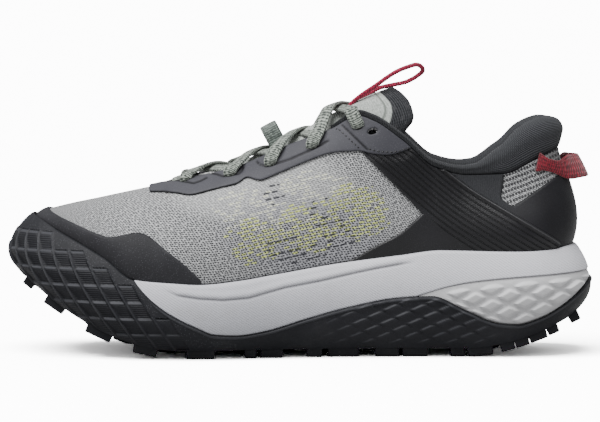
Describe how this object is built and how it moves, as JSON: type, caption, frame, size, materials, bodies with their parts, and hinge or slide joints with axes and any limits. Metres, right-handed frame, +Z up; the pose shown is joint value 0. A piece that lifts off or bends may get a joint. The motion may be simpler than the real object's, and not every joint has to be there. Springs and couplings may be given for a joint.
{
  "type": "trail running shoe",
  "caption": "Low-cut trail running shoe for the left foot: hollow mesh upper with film overlays, laces and padded tongue on a foam midsole and lugged rubber outsole.",
  "frame": {"origin": "centre of the shoe's length and width, on the floor the tread stands on", "axes": "-X towards the toe, +X towards the heel, -Y to the outer (lateral) side, +Z up"},
  "size_m": [0.3, 0.1136, 0.1489],
  "materials": {
    "charcoal_rubber": "matt",
    "pale_grey_foam": "fine matt grain",
    "warm_grey_foam": "fine matt grain",
    "grey_mesh": "heather mesh",
    "graphite_film": "satin",
    "slate_film": "satin",
    "charcoal_knit": "ribbed knit",
    "heather_lace": "woven",
    "sage_webbing": "woven",
    "crimson_webbing": "woven",
    "insole_cloth": "knit"
  },
  "bodies": {
    "root": {"outsole": "charcoal_rubber", "midsole": "pale_grey_foam", "heel_carrier": "warm_grey_foam", "insole": "insole_cloth", "upper": "grey_mesh", "toe_cap": "graphite_film", "eyestay": "slate_film", "strap_lateral": "graphite_film", "strap_medial": "graphite_film", "underlay_lateral": "graphite_film", "underlay_medial": "graphite_film", "heel_counter": "graphite_film", "collar": "charcoal_knit", "tongue": "charcoal_knit", "lace_bar": "heather_lace", "lace_cross_1": "heather_lace", "lace_cross_2": "heather_lace", "lace_cross_3": "heather_lace", "lace_cross_4": "heather_lace", "lace_keeper": "sage_webbing", "tongue_loop": "crimson_webbing", "heel_tab": "crimson_webbing"}
  },
  "joints": []
}
